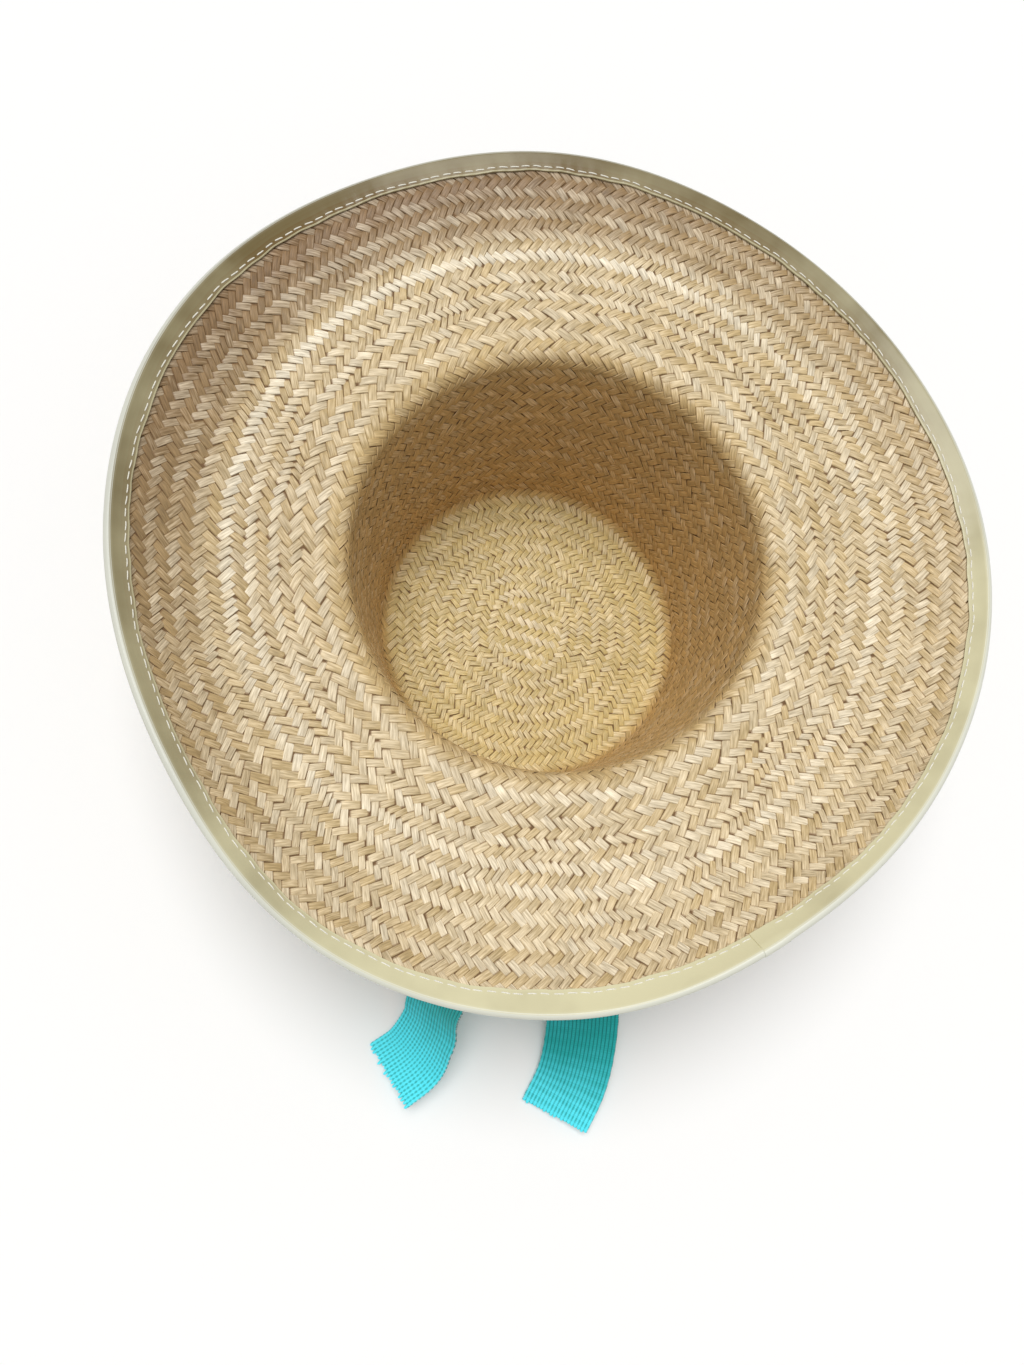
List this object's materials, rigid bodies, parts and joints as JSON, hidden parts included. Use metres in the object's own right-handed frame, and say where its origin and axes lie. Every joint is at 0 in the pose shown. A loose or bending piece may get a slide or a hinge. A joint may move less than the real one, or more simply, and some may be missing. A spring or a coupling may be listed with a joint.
{
  "type": "woven straw sun hat with ribbon",
  "caption": "Wide-brimmed woven straw sun hat, lying crown down, with a glossy folded edge binding and a ribbed ribbon tied at the back in a plain knot with loose tails.",
  "frame": {"origin": "middle of the crown's flat tip, on its outer face, where the hat rests upside down", "axes": "+Z from the crown's tip out through its open mouth, -Y from the crown towards the knot and tails at the back, +X to the right seen from above with the knot towards the viewer"},
  "size_m": [0.3819, 0.4605, 0.1458],
  "materials": {
    "straw": "woven plant straw with a soft sheen",
    "vinyl": "glossy",
    "ribbon": "matt ribbed ribbon"
  },
  "bodies": {
    "root": {"straw_body": "straw", "edge_binding": "vinyl", "ribbon_band": "ribbon", "ribbon_knot": "ribbon", "ribbon_tail_left": "ribbon", "ribbon_tail_right": "ribbon"}
  },
  "joints": []
}
